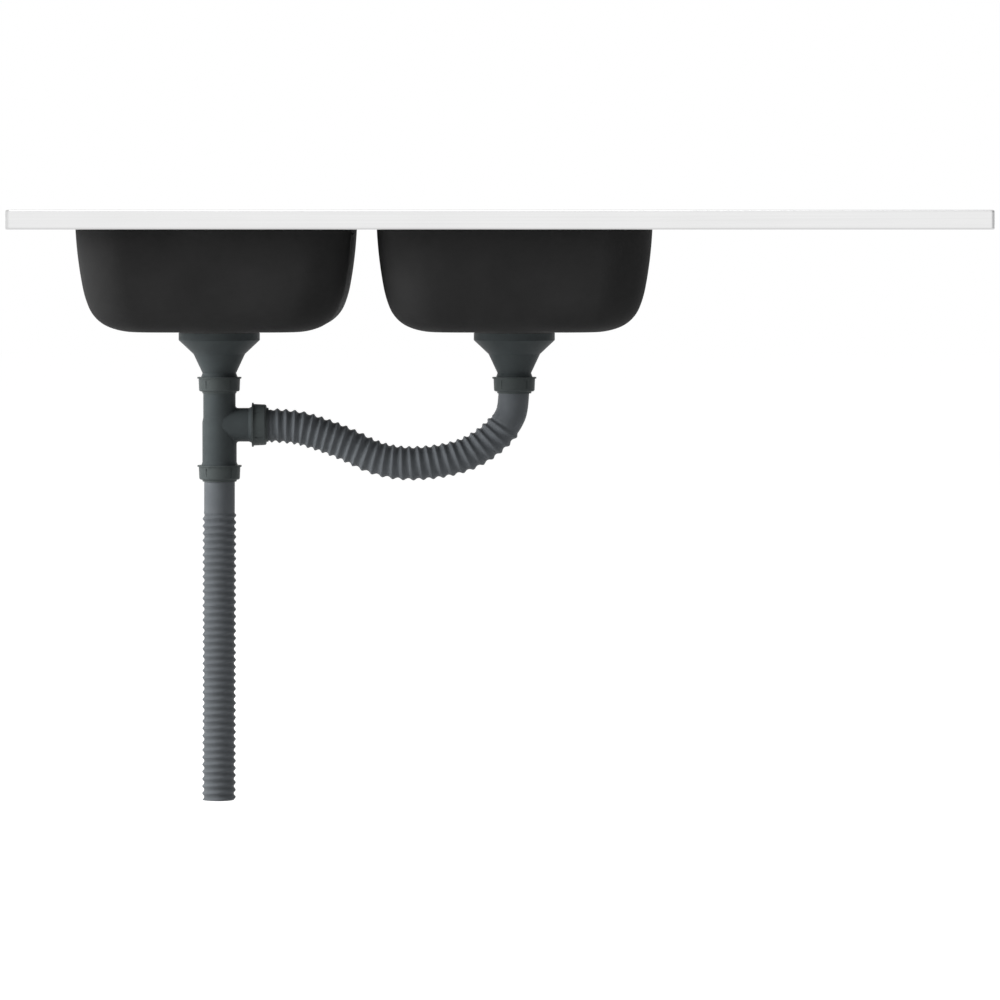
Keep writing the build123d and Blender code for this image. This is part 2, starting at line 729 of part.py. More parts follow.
# ---- the whole sink ---------------------------------------------------------------------
def build():
    """Every piece of the sink by name."""
    pieces = {"deck": make_deck()}
    for side, x in (("left", left_bowl_x), ("right", right_bowl_x)):
        pieces[f"{side}_bowl"] = make_bowl(x)
        pieces[f"{side}_sound_coat"] = make_coat(x)
        pieces[f"{side}_strainer_flange"] = make_strainer_flange(x)
        pieces[f"{side}_flange_gasket"] = make_flange_gasket(x)
        pieces[f"{side}_body_gasket"] = make_body_gasket(x)
        pieces[f"{side}_clamp_screw"] = make_clamp_screw(x)
        pieces[f"{side}_screw_insert"] = make_screw_insert(x)
        pieces[f"{side}_basket"] = make_basket(x)
        pieces[f"{side}_basket_seal"] = make_basket_seal(x)
        pieces[f"{side}_basket_knob"] = make_basket_knob(x)
        pieces[f"{side}_waste_body"] = make_waste_body(x)
        pieces[f"{side}_waste_nut"] = union_nut(hanging(x, neck_level))
        held = pipe_diameter if side == "left" else cuff_diameter
        pieces[f"{side}_waste_washer"] = cone_washer(hanging(x, body_end), held)
    pieces["waste_tee"] = make_tee()
    branch_thread = branch_end - thread_length
    pieces["tee_branch_nut"] = union_nut(sideways(branch_thread, branch_level))
    pieces["tee_branch_washer"] = cone_washer(sideways(branch_end, branch_level), cuff_diameter)
    pieces["tee_lower_nut"] = union_nut(hanging(left_bowl_x, tee_end + thread_length))
    pieces["tee_lower_washer"] = cone_washer(hanging(left_bowl_x, tee_end), cuff_diameter)
    pieces["link_hose"] = make_link_hose()
    pieces["drain_hose"] = make_drain_hose()
    print(f"{len(pieces)} pieces")
    return pieces


print(f"bowl floor at {floor_level:.2f}, waste body from {body_top:.2f} to {body_end:.2f}")
print(f"branch axis at {branch_level:.2f}, tee end at {tee_end:.2f}, cup floor at {cup_floor:.2f}")
os.makedirs("parts", exist_ok=True)
for name, piece in build().items():
    export_step(piece, f"parts/{name}.step")
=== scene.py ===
# %% [markdown]
# # A lay-on kitchen sink with two bowls, seen level with its edge
#
# This notebook gives those pieces their looks, one at a time, and makes anew the ones whose
# surfaces need more than flat facets: the drawn bowls, their sprayed coat and the two
# corrugated hoses.

# %% Load the sink and keep its record
import json
import math

import bpy
import numpy as np
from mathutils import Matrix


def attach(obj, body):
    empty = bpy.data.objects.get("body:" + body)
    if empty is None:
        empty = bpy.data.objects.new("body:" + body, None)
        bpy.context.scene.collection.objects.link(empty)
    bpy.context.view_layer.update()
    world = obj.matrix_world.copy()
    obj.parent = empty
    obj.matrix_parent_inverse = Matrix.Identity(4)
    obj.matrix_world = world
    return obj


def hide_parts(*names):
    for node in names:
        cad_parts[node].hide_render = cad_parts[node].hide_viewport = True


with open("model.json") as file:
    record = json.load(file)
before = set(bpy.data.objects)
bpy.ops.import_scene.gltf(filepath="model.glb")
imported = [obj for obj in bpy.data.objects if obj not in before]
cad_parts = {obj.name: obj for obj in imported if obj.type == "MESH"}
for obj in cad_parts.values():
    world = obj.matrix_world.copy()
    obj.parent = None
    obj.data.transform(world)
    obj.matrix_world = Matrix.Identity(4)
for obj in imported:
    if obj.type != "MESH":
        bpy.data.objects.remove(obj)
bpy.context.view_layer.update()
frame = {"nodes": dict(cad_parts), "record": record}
nodes = frame["nodes"]
print("pieces in the frame:", len(nodes))

# %% [markdown]
# ## Camera
#
# A catalogue picture of a sink's side is taken from far away, level with the edge, so that the
# deck shrinks to one thin line and still a little perspective is left: the bowls, which stand
# back from the edge, look slightly smaller than the edge itself. A shifted lens would keep the
# picture's middle below the horizon, but it would also push the sink off centre in every other
# view, so the camera is tilted down by the same angle instead. At seven metres that bends
# upright lines by less than a pixel and a half.

# %% Camera
camera_distance = 7.1          # from the middle of the deck, metres
camera_height = 0.0055
horizon = 0.275                # how far above the picture's middle the horizon lies, of its height
sensor, lens = 36.0, 201.8     # millimetres
view_end = 100.0               # nothing beyond this many metres is drawn

camera_data = bpy.data.cameras.new("camera")
camera_data.sensor_width, camera_data.lens = sensor, lens
camera_data.clip_end = view_end
camera = bpy.data.objects.new("camera", camera_data)
bpy.context.scene.collection.objects.link(camera)
tilt = math.atan(horizon * sensor / lens)
camera.location = (0.0, -camera_distance, camera_height)
camera.rotation_euler = (math.pi / 2 - tilt, 0.0, 0.0)
bpy.context.scene.camera = camera
bpy.context.scene.view_settings.view_transform = "Standard"
print(f"camera tilted down by {math.degrees(tilt):.2f} degrees")

# %% [markdown]
# ## Helpers for shaders
#
# World, floor and finishes are all trees of shader nodes. A tree could be drawn by hand in the
# editor, but a few helpers that each add one node and return its output make it readable from
# top to bottom: a product, a smooth change, a choice between two values.

# %% Shader helpers
white = (1.0, 1.0, 1.0, 1.0)


def node_tree(owner):
    """Empty shader node tree of a material or world, with its links."""
    owner.use_nodes = True
    owner.node_tree.nodes.clear()
    return owner.node_tree.nodes, owner.node_tree.links


def add(tree, kind, **values):
    """New shader node; each value goes to the input socket of that name, or to the attribute."""
    node = tree.new(kind)
    for name, value in values.items():
        socket = node.inputs.get(name.replace("_", " "))
        if socket is not None and not hasattr(node, name):
            socket.default_value = value
        else:
            setattr(node, name, value)
    return node


def joined(tree, links, operation, first, second):
    """Output of a maths node that joins two sockets, such as their product or maximum."""
    step = add(tree, "ShaderNodeMath", operation=operation)
    links.new(first, step.inputs[0])
    links.new(second, step.inputs[1])
    return step.outputs[0]


def any_of(tree, links, path, names):
    """1 where a ray is of one of the named kinds, otherwise 0."""
    total = path.outputs[names[0]]
    for name in names[1:]:
        total = joined(tree, links, "MAXIMUM", total, path.outputs[name])
    return total


def fade_between(tree, links, value, start, end, low, high):
    """Smooth change from low to high while a value goes from start to end."""
    ramp = add(tree, "ShaderNodeMapRange", interpolation_type="SMOOTHSTEP")
    numbers = (("From Min", start), ("From Max", end), ("To Min", low), ("To Max", high))
    for name, number in numbers:
        ramp.inputs[name].default_value = number
    links.new(value, ramp.inputs["Value"])
    return ramp.outputs[0]


def choose(tree, links, which, off, on):
    """The number or socket `on` where which is 1, and `off` where it is 0."""
    mix = add(tree, "ShaderNodeMix", data_type="FLOAT")
    links.new(which, mix.inputs[0])
    for socket, source in ((2, off), (3, on)):
        if isinstance(source, float):
            mix.inputs[socket].default_value = source
        else:
            links.new(source, mix.inputs[socket])
    return mix.outputs[0]


print("helpers for shader trees are ready")

# %% [markdown]
# ## World
#
# The sink hangs in a white studio. The world is white where the camera meets it, and dimmer as
# light, so that the lamps can model the round pipes. Steel shows only what it mirrors, and in a
# room that is white all round it has no shape at all. So reflections see white walls in front
# and behind, but a ceiling that is a little greyer, a grey wall far out on the left and a dark
# screen on the right: they draw the thin lines at the ends of the sink's edge. Real screens
# could stand round the sink instead, but three fades by direction stay out of every view.

# %% World
soft_light = 0.50              # what the world adds as light, where 1 is white
ceiling_level, left_level, screen_level = 0.70, 0.70, 0.22    # how bright steel sees each

world = bpy.data.worlds.new("studio")
bpy.context.scene.world = world
tree, links = node_tree(world)
path = add(tree, "ShaderNodeLightPath")
towards = add(tree, "ShaderNodeSeparateXYZ")
links.new(add(tree, "ShaderNodeTexCoord").outputs["Generated"], towards.inputs[0])
sideways, upwards = towards.outputs["X"], towards.outputs["Z"]
ceiling = fade_between(tree, links, upwards, 0.12, 0.95, 1.0, ceiling_level)
screen = fade_between(tree, links, sideways, 0.50, 0.97, 1.0, screen_level)
left_wall = fade_between(tree, links, sideways, -0.95, -0.30, left_level, 1.0)
walls = joined(tree, links, "MULTIPLY", left_wall, screen)
room = joined(tree, links, "MULTIPLY", ceiling, walls)
level = choose(tree, links, path.outputs["Is Camera Ray"], soft_light, 1.0)
through = any_of(tree, links, path, ("Is Glossy Ray", "Is Transmission Ray"))
level = choose(tree, links, through, level, room)
background = add(tree, "ShaderNodeBackground", Color=white)
links.new(level, background.inputs["Strength"])
output = add(tree, "ShaderNodeOutputWorld")
links.new(background.outputs[0], output.inputs["Surface"])
print("world: light", soft_light, "and white for the camera")

# %% [markdown]
# ## Floor
#
# The sink is at the height of a worktop over a white floor. White paint returns only part of
# the light, so the floor also glows a little, and less where the key lamp already lights it.
# In steel it is a plain white that falls off a little near the sink, or the edge would be as
# white as what lies behind it.

# %% Floor
worktop_height = 0.86
floor_size = 60.0
floor_colour = 0.60
floor_glow = 1.0 - floor_colour * soft_light    # lifts the far floor to white for the camera,
lamp_pool, pool_radius = 0.57, 5.0              # and less so near the key lamp
pool_middle = (-2.5, -1.0, 0.0)
mirrored_near, mirrored_far = 0.86, 1.0         # how bright steel sees the floor, near and far
near_radius, far_radius = 0.5, 4.0

half = floor_size / 2
outline = ((-half, -half), (half, -half), (half, half), (-half, half))
floor_mesh = bpy.data.meshes.new("floor")
floor_mesh.from_pydata([(x, y, -worktop_height) for x, y in outline], [], [(0, 1, 2, 3)])
floor = bpy.data.objects.new("floor", floor_mesh)
bpy.context.scene.collection.objects.link(floor)

floor_paint = bpy.data.materials.new("floor_paint")
tree, links = node_tree(floor_paint)
path = add(tree, "ShaderNodeLightPath")
seen = any_of(tree, links, path, ("Is Camera Ray", "Is Transmission Ray"))
flat = add(tree, "ShaderNodeVectorMath", operation="MULTIPLY")
flat.inputs[1].default_value = (1.0, 1.0, 0.0)
links.new(add(tree, "ShaderNodeTexCoord").outputs["Object"], flat.inputs[0])
from_pool = add(tree, "ShaderNodeVectorMath", operation="DISTANCE")
from_pool.inputs[1].default_value = pool_middle
links.new(flat.outputs[0], from_pool.inputs[0])
from_sink = add(tree, "ShaderNodeVectorMath", operation="LENGTH")
links.new(flat.outputs[0], from_sink.inputs[0])

pool = (0.0, pool_radius, floor_glow - lamp_pool, floor_glow)
glow = joined(tree, links, "MULTIPLY", seen,
              fade_between(tree, links, from_pool.outputs["Value"], *pool))
calm = fade_between(tree, links, from_sink.outputs["Value"], near_radius, far_radius,
                    mirrored_near, mirrored_far)
matt = add(tree, "ShaderNodeBsdfDiffuse", Color=(floor_colour, floor_colour, floor_colour, 1.0))
light = add(tree, "ShaderNodeEmission", Color=white)
links.new(glow, light.inputs["Strength"])
both = add(tree, "ShaderNodeAddShader")
links.new(matt.outputs[0], both.inputs[0])
links.new(light.outputs[0], both.inputs[1])
mirror_image = add(tree, "ShaderNodeEmission", Color=white)
links.new(calm, mirror_image.inputs["Strength"])
which = add(tree, "ShaderNodeMixShader")
links.new(path.outputs["Is Glossy Ray"], which.inputs[0])
links.new(both.outputs[0], which.inputs[1])
links.new(mirror_image.outputs[0], which.inputs[2])
output = add(tree, "ShaderNodeOutputMaterial")
links.new(which.outputs[0], output.inputs["Surface"])
floor_mesh.materials.append(floor_paint)
print("floor at", -worktop_height, "m, glowing with", floor_glow)

# %% [markdown]
# ## Lamps
#
# A pipe looks round because one side of it is brighter. A large lamp seven metres out on the
# left gives every pipe its bright left side, and a weak one on the right keeps the other side
# from going black. One behind does the same for the rear. The fourth hangs over the sink: it
# lights the insides of the bowls, and it is the only one that the steel is allowed to mirror.
# A sun would be simpler, but its light has hard edges, and a square lamp's are soft.

# %% Lamps
aim_below = 0.3                # the lamps point at a place this far below the deck


def lamp(name, azimuth, height, distance, size, watts, mirrored=False):
    """Square area lamp aimed at the sink; azimuth 0 is the camera's side, 90 the left.

    Steel would show a low lamp as a burnt-out patch, so only a mirrored one is seen in it.
    """
    data = bpy.data.lights.new(name, "AREA")
    data.size, data.energy = size, watts
    made = bpy.data.objects.new(name, data)
    bpy.context.scene.collection.objects.link(made)
    turn = math.radians(azimuth)
    made.location = (-distance * math.sin(turn), -distance * math.cos(turn), height)
    down = math.atan2(height + aim_below, distance)
    made.rotation_euler = (math.pi / 2 - down, 0.0, -turn)
    made.visible_glossy = mirrored
    print(f"{name}: {watts:.0f} W at {distance} m")


lamp("key_lamp", 76.0, 1.2, 7.0, 4.67, 1010.0)
lamp("fill_lamp", -95.0, 0.71, 7.0, 4.67, 48.0)
lamp("rear_lamp", 150.0, 1.0, 4.5, 3.0, 60.0)
lamp("top_lamp", 20.0, 3.4, 1.6, 2.4, 24.0, mirrored=True)

# %% [markdown]
# ## Turning formulas into surfaces
#
# Every new piece below is a grid of points worked out by numpy: a profile carried round a closed
# loop, or rings strung along a line. One helper joins neighbouring points with quads, closes
# the last row to the first where the surface returns on itself, and turns the faces outwards by
# the sign of the volume.

# %% Grid helpers
tau = 2.0 * math.pi


def grid_object(name, grid, close_rows=False, crease=35.0):
    """Mesh object of a rows x columns x 3 grid of points whose columns run round a closed loop.

    Face (i, j) joins points (i, j), (i, j+1), (i+1, j+1) and (i+1, j). The sum of
    a . (b x c) / 6 over its triangles is the volume, whose sign says which way faces point.
    Edges sharper than `crease` degrees stay sharp.
    """
    rows, columns = grid.shape[:2]
    first = np.arange(rows if close_rows else rows - 1)
    here = first[:, None] * columns
    below = (first[:, None] + 1) % rows * columns
    column = np.arange(columns)
    beside = (column + 1) % columns
    quads = np.stack([here + column, here + beside, below + beside, below + column], axis=-1)
    quads = quads.reshape(-1, 4)
    points = grid.reshape(-1, 3)
    middle = points - points.mean(axis=0)
    a, b, c, d = (middle[quads[:, k]] for k in range(4))
    halves = (np.einsum("ij,ij->", a, np.cross(b, c)), np.einsum("ij,ij->", a, np.cross(c, d)))
    volume = sum(halves) / 6
    if volume < 0:
        quads = quads[:, ::-1]
    mesh = bpy.data.meshes.new(name)
    mesh.from_pydata(points.tolist(), [], quads.tolist())
    mesh.shade_smooth()
    mesh.set_sharp_from_angle(angle=math.radians(crease))
    made = bpy.data.objects.new(name, mesh)
    bpy.context.scene.collection.objects.link(made)
    print(f"{name}: {rows} x {columns} points, {abs(volume) * 1e6:.1f} ml of material")
    return made


def attribute(piece, name, values):
    """Writes one number per vertex to the mesh, for a material to read."""
    layer = piece.data.attributes.new(name, "FLOAT", "POINT")
    layer.data.foreach_set("value", np.asarray(values, dtype=np.float32).ravel())


print("helpers for grids are ready")

# %% [markdown]
# ## Finishes
#
# A finish is more than its colour. Steel shows the direction of its brushing, a sprayed coat
# has a soft orange peel, and moulded plastic has a faint grain and paler and darker clouds where
# it flowed into the mould. All of it is worked out from the piece's own coordinates in metres,
# so a noise scale of 400 means features about 2.5 mm wide. The helpers here each add one thing
# to a material: its shader, a noise, a range, a blend of two colours, or a bump.

# %% Shader and noise


def finish_of(name, colour, roughness, metallic=0.0, specular=0.5):
    """Material with a Principled shader; returns (material, tree, links, shader, coordinates)."""
    material = bpy.data.materials.new(name)
    tree, links = node_tree(material)
    shader = add(tree, "ShaderNodeBsdfPrincipled")
    shader.inputs["Base Color"].default_value = (*colour, 1.0)
    shader.inputs["Metallic"].default_value = metallic
    shader.inputs["Roughness"].default_value = roughness
    shader.inputs["Specular IOR Level"].default_value = specular
    output = add(tree, "ShaderNodeOutputMaterial")
    links.new(shader.outputs[0], output.inputs["Surface"])
    place = add(tree, "ShaderNodeTexCoord").outputs["Object"]
    return material, tree, links, shader, place


def noise(tree, links, place, scale, detail=2.0, stretch=(1.0, 1.0, 1.0)):
    """Noise between 0 and 1 on the piece's own coordinates, stretched along an axis."""
    mapping = add(tree, "ShaderNodeMapping")
    mapping.inputs["Scale"].default_value = stretch
    links.new(place, mapping.inputs["Vector"])
    texture = add(tree, "ShaderNodeTexNoise", Scale=scale, Detail=detail)
    links.new(mapping.outputs[0], texture.inputs["Vector"])
    return texture.outputs["Fac"]


def spread(tree, links, value, low, high, usual=(0.3, 0.7)):
    """Maps a noise from its usual range to low..high."""
    ranged = add(tree, "ShaderNodeMapRange", From_Min=usual[0], From_Max=usual[1])
    ranged.inputs["To Min"].default_value = low
    ranged.inputs["To Max"].default_value = high
    links.new(value, ranged.inputs["Value"])
    return ranged.outputs[0]


print("a noise scale of 400 gives features of", 1000 / 400, "mm")

# %% Colour and bump


def shade(colour, factor):
    """The colour times a number, no part of it above 1."""
    return tuple(min(1.0, part * factor) for part in colour)


def clouded(tree, links, cloud, colour, low, high):
    """The colour between `low` and `high` times itself, as a cloudy noise says."""
    mix = add(tree, "ShaderNodeMix", data_type="RGBA")
    for socket, factor in ((6, low), (7, high)):
        mix.inputs[socket].default_value = (*shade(colour, factor), 1.0)
    links.new(spread(tree, links, cloud, 0.0, 1.0), mix.inputs[0])
    return mix.outputs[2]


def darken(tree, links, paint, factor):
    """Colour of a socket times the number of another socket."""
    mix = add(tree, "ShaderNodeMix", data_type="RGBA", blend_type="MULTIPLY")
    mix.inputs[0].default_value = 1.0
    links.new(paint, mix.inputs[6])
    links.new(factor, mix.inputs[7])
    return mix.outputs[2]


def bump(tree, links, shader, height, depth, strength, below=None):
    """Bump of a depth in metres on the shader's normal, on top of another bump if given."""
    node = add(tree, "ShaderNodeBump", Strength=strength, Distance=depth)
    links.new(height, node.inputs["Height"])
    if below is not None:
        links.new(below, node.inputs["Normal"])
    links.new(node.outputs[0], shader.inputs["Normal"])
    return node.outputs[0]


def vary_roughness(tree, links, shader, value, low, high):
    """Lets a noise move the shader's roughness between low and high."""
    links.new(spread(tree, links, value, low, high), shader.inputs["Roughness"])


finishes = {}
print("a grey of 0.5, shaded by 1.5:", shade((0.5, 0.5, 0.5), 1.5))

# %% [markdown]
# ## Steel: deck, strainers, baskets, screws and knobs
#
# The deck is pressed from one stainless sheet and brushed along its length; a darker band is
# painted along its lowest bend as shade. The bowls are brushed up and down their walls. The
# strainer cups and baskets are small pressings, polished brighter, the clamp screws are turned,
# and the knobs are polished until they mirror. The screws run in brass. All are one metal
# shader with lines stretched along the way of the grinding: a photograph of brushed steel would
# do it too, but lines made from noise stay sharp at any distance and need no unwrapping.

# %% Steel
stroke_width = 7.0             # how many fine lines a wider stroke covers
hem_tone = 0.86                # how bright the painted shade along the lowest bend is, of the rest


def steel(name, colour, roughness, lines, line_scale, strokes=0.0, hem=0.0):
    """Ground steel: fine lines along one axis, and soft clouds where the grinding varies.

    The strokes are wider bands among the lines, a few per cent darker, which the eye still sees
    from far away. The hem height is how far up the lowest bend a darker band of painted shade
    reaches.
    """
    material, tree, links, shader, place = finish_of(name, colour, roughness, metallic=1.0)
    fine = noise(tree, links, place, line_scale, 2.0, lines)
    paint = clouded(tree, links, noise(tree, links, place, 7.0, 3.0), colour, 0.98, 1.01)
    if strokes:
        wide = noise(tree, links, place, line_scale / stroke_width, 4.0, lines)
        paint = darken(tree, links, paint, spread(tree, links, wide, 1.0 - strokes, 1.0))
    # painted shade: the colour is darker below this height along the deck edge's lowest bend
    if hem:
        height = add(tree, "ShaderNodeSeparateXYZ")
        links.new(place, height.inputs[0])
        dull = (0.7 * hem, 1.3 * hem, hem_tone, 1.0)
        paint = darken(tree, links, paint, fade_between(tree, links, height.outputs["Z"], *dull))
    links.new(paint, shader.inputs["Base Color"])
    vary_roughness(tree, links, shader, fine, roughness - 0.03, roughness + 0.03)
    bump(tree, links, shader, fine, 0.00001, 0.2)
    return material


finishes["deck_steel"] = steel(
    "deck_steel", (0.89, 0.89, 0.89), 0.30, (0.004, 1.0, 1.0), 3500.0, strokes=0.05, hem=0.0022
)
for name, colour, roughness, lines, line_scale in (
    ("bowl_steel", (0.74, 0.74, 0.74), 0.34, (1.0, 1.0, 0.02), 3500.0),
    ("strainer_steel", (0.78, 0.78, 0.79), 0.18, (1.0, 1.0, 0.05), 1500.0),
    ("screw_steel", (0.70, 0.70, 0.71), 0.28, (1.0, 1.0, 0.05), 1500.0),
    ("knob_steel", (0.86, 0.86, 0.87), 0.10, (1.0, 1.0, 0.05), 1800.0),
    ("insert_brass", (0.75, 0.58, 0.28), 0.30, (0.05, 0.05, 1.0), 1800.0),
):
    finishes[name] = steel(name, colour, roughness, lines, line_scale)
print("metals:", ", ".join(finishes))

# %% [markdown]
# ## Sprayed sound coat
#
# A thick black paint, full of filler, is sprayed on the outside of the bowls to deaden them. It
# dries matt, with the soft dents of an orange's peel and fine grains. They could be pressed
# into the mesh, but they are at most a few tenths of a millimetre high, too little to show in
# the outline, so both are bumps here.

# %% Coat finish


def coat_finish(name, colour, roughness):
    """Sprayed sound coat: near black, with a soft orange peel and fine speckles."""
    material, tree, links, shader, place = finish_of(name, colour, roughness, specular=0.05)
    peel = noise(tree, links, place, 260.0, 2.0)
    speckle = noise(tree, links, place, 1300.0, 2.0)
    paint = clouded(tree, links, noise(tree, links, place, 14.0, 3.0), colour, 0.88, 1.12)
    links.new(paint, shader.inputs["Base Color"])
    vary_roughness(tree, links, shader, speckle, roughness - 0.06, roughness + 0.08)
    soft = bump(tree, links, shader, peel, 0.0003, 0.35)
    bump(tree, links, shader, speckle, 0.00008, 0.3, below=soft)
    return material


finishes["sound_coat"] = coat_finish("sound_coat", (0.0236, 0.0236, 0.0238), 0.66)
print("finishes so far:", len(finishes))

# %% [markdown]
# ## Moulded plastic: funnels, tee, union nuts and hoses
#
# The waste bodies under the bowls, the tee and the four union nuts are injection moulded in grey
# polypropylene, and the hoses are blown from a softer, paler grade. Their shapes are all in the
# construction: sockets, ledges, and the grips round the nuts. What is left is the skin, which
# is nearly matt, with the fine grain of the mould and clouds where the plastic flowed. A flat
# grey would do from far off; the grain keeps a round pipe from shining like glass close by.

# %% Plastic


def moulded_plastic(name, colour, roughness, ribs=False):
    """Moulded plastic: faint clouds, a fine grain, and on a hose painted shade in its valleys and
    bore.
    """
    material, tree, links, shader, place = finish_of(name, colour, roughness, specular=0.07)
    grain = noise(tree, links, place, 1500.0, 2.0)
    paint = clouded(tree, links, noise(tree, links, place, 45.0, 3.0), colour, 0.93, 1.07)
    if ribs:
        # painted shade read from the mesh: darker hose valleys and bore
        painted_shade = add(tree, "ShaderNodeAttribute", attribute_name="painted_shade")
        paint = darken(tree, links, paint, painted_shade.outputs["Fac"])
    links.new(paint, shader.inputs["Base Color"])
    vary_roughness(tree, links, shader, grain, roughness - 0.05, roughness + 0.06)
    bump(tree, links, shader, grain, 0.00006, 0.3)
    return material


for name, colour, roughness, ribs in (
    ("fitting_plastic", (0.047, 0.0545, 0.0565), 0.45, False),
    ("nut_plastic", (0.056, 0.064, 0.064), 0.42, False),
    ("hose_plastic", (0.094, 0.102, 0.110), 0.45, True),
):
    finishes[name] = moulded_plastic(name, colour, roughness, ribs)
print("finishes so far:", len(finishes))

# %% [markdown]
# ## Rubber: gaskets, basket seals and cone washers
#
# Everything that keeps the water in is cut or moulded from black rubber: the flat gaskets
# above and below each bowl's sheet, the rings under the baskets and the cone washers in the
# nuts. Only the basket seals ever show. Rubber is dull and takes on dust, so its colour varies
# more than a plastic's. It could borrow the plastic's recipe, but a short one of its own says
# what is different.

# %% Rubber


def plain_rubber(name, colour, roughness):
    """Rubber with a dull, slightly dusty skin."""
    material, tree, links, shader, place = finish_of(name, colour, roughness, specular=0.3)
    grain = noise(tree, links, place, 2200.0, 2.0)
    paint = clouded(tree, links, noise(tree, links, place, 90.0, 4.0), colour, 0.85, 1.3)
    links.new(paint, shader.inputs["Base Color"])
    bump(tree, links, shader, grain, 0.00005, 0.3)
    return material


finishes["gasket_rubber"] = plain_rubber("gasket_rubber", (0.03, 0.03, 0.03), 0.6)
print("finishes:", len(finishes))

# %% Give each piece its finish
slot_of = {part["node"]: part["material_slot"] for part in frame["record"]["subparts"]}
for name, node in nodes.items():
    node.data.materials.clear()
    node.data.materials.append(finishes[slot_of[name]])
print("pieces with a finish:", len(nodes))

# %% [markdown]
# ## The drawn bowls
#
# Each bowl is drawn from one sheet, so its wall leaves the seam nearly upright, leans in more
# and more, turns through a tight heel and runs out level into the floor. Seen from above, such
# a wall is a long smooth reflection, and a single facet in it would show. It is therefore made
# as a profile of four arcs that meet without a corner, carried round rounded rectangles that
# shrink with it; the seat for the strainer is pressed into the floor, and the same profile one
# sheet further out is the bowl's underside.

# %% Rounded rectangles
sheet = 0.0009
seam_z = 0.0125
mouth_x, mouth_y, mouth_corner = 0.1683, 0.1983, 0.060    # half sizes and corner at the seam
corner_loss = 0.35             # share of the inset that the corner radius loses on the way down


def rounded_loops(half_x, half_y, corner, per_side=10, per_corner=18):
    """Points round rounded rectangles, one loop for each value in the arrays of sizes.

    A corner's points are its centre + radius * (cos a, sin a) with a in even steps, and a
    side's points lie evenly between two corners.
    """
    sizes = (half_x, half_y, corner)
    half_x, half_y, corner = (np.atleast_1d(np.asarray(v, float))[:, None] for v in sizes)
    turn = np.linspace(0.0, tau / 4, per_corner + 1)
    corners = []
    for quarter, (sx, sy) in enumerate(((1, 1), (-1, 1), (-1, -1), (1, -1))):
        angle = turn + quarter * tau / 4
        x = sx * (half_x - corner) + corner * np.cos(angle)
        y = sy * (half_y - corner) + corner * np.sin(angle)
        corners.append(np.stack([x, y], axis=-1))
    share = np.linspace(0.0, 1.0, per_side + 2)[1:-1][None, :, None]
    parts = []
    for here, beside in zip(corners, corners[1:] + corners[:1]):
        first, last = here[:, -1:], beside[:, :1]
        parts += [here, first + (last - first) * share]
    return np.concatenate(parts, axis=1)


print("points round one loop:", rounded_loops(mouth_x, mouth_y, mouth_corner).shape[1])

# %% The wall's profile
# radius of each bend, and its lean off upright in degrees at the start and at the end
wall_bends = ((0.518, 1.3, 10.7), (0.125, 10.7, 22.0), (0.0433, 22.0, 68.0), (0.0805, 68.0, 90.0))


def wall_profile(spacing=0.004, fewest=6):
    """Inset, drop and lean down the wall: a bend of radius R from lean b adds
    R (cos b - cos a) to the inset and R (sin a - sin b) to the drop at lean a."""
    inset, drop = [0.0], [0.0]
    lean = [math.radians(wall_bends[0][1])]
    for radius, start, end in wall_bends:
        b = math.radians(start)
        steps = max(fewest, round(radius * math.radians(end - start) / spacing))
        a = np.radians(np.linspace(start, end, steps + 1))[1:]
        foot_inset, foot_drop = inset[-1], drop[-1]
        inset += list(foot_inset + radius * (math.cos(b) - np.cos(a)))
        drop += list(foot_drop + radius * (np.sin(a) - math.sin(b)))
        lean += list(a)
    return np.array(inset), np.array(drop), np.array(lean)


inset, drop, lean = wall_profile()
floor_z = seam_z - drop[-1]
print(f"wall profile of {len(inset)} points, bowl floor at {floor_z * 1000:.2f} mm")

# %% Rows of points for wall and floor


def wall_rows(skin, first=0):
    """Loops down the wall, `skin` outside the inside surface; rows x columns x 3."""
    out, down = skin * np.cos(lean[first:]), skin * np.sin(lean[first:])
    if first == 0:
        down[0] = 0.0          # both faces of the sheet end level at the seam
    loops = rounded_loops(
        mouth_x - inset[first:] + out, mouth_y - inset[first:] + out,
        mouth_corner - corner_loss * inset[first:] + out,
    )
    level = seam_z - drop[first:] - down
    heights = np.broadcast_to(level[:, None, None], loops.shape[:2] + (1,))
    return np.concatenate([loops, heights], axis=2)


def round_rows(last_loop, radii, levels):
    """Circles of the given radii and levels whose points keep the directions of a loop's."""
    angle = np.arctan2(last_loop[:, 1], last_loop[:, 0])
    circle = np.stack([np.cos(angle), np.sin(angle)], axis=-1)
    rows = zip(radii, levels)
    return np.stack([np.c_[circle * radius, np.full(len(angle), level)] for radius, level in rows])


def between(first, last, count):
    """Rows in even steps from one loop to another, both left out."""
    share = np.linspace(0.0, 1.0, count + 2)[1:-1][:, None, None]
    return first[None] + (last - first)[None] * share


inside_wall, outside_wall = wall_rows(0.0), wall_rows(sheet)
print("rows down the wall:", len(inside_wall))

# %% Bowls
seat_radius, seat_drop, seat_slope = 0.0622, 0.0022, 0.0045
waste_hole_radius = 0.045
bowl_pitch, bowl_y = 0.371, -0.050
left_x = -0.353
right_x = left_x + bowl_pitch
sides = (("left", left_x), ("right", right_x))


def floor_rows(wall, floor_count=7, slope_count=9):
    """Floor from the wall's last loop to the waste hole, with the strainer's pressed seat.

    The seat's edge falls by depth * (3 t^2 - 2 t^3) over its slope, so it has no sharp line.
    """
    t = np.linspace(0.0, 1.0, slope_count)
    level = wall[-1, 0, 2]
    radii = np.r_[seat_radius - seat_slope * t, waste_hole_radius]
    levels = np.r_[level - seat_drop * (3 * t**2 - 2 * t**3), level - seat_drop]
    seat = round_rows(wall[-1], radii, levels)
    return np.concatenate([between(wall[-1], seat[0], floor_count), seat])


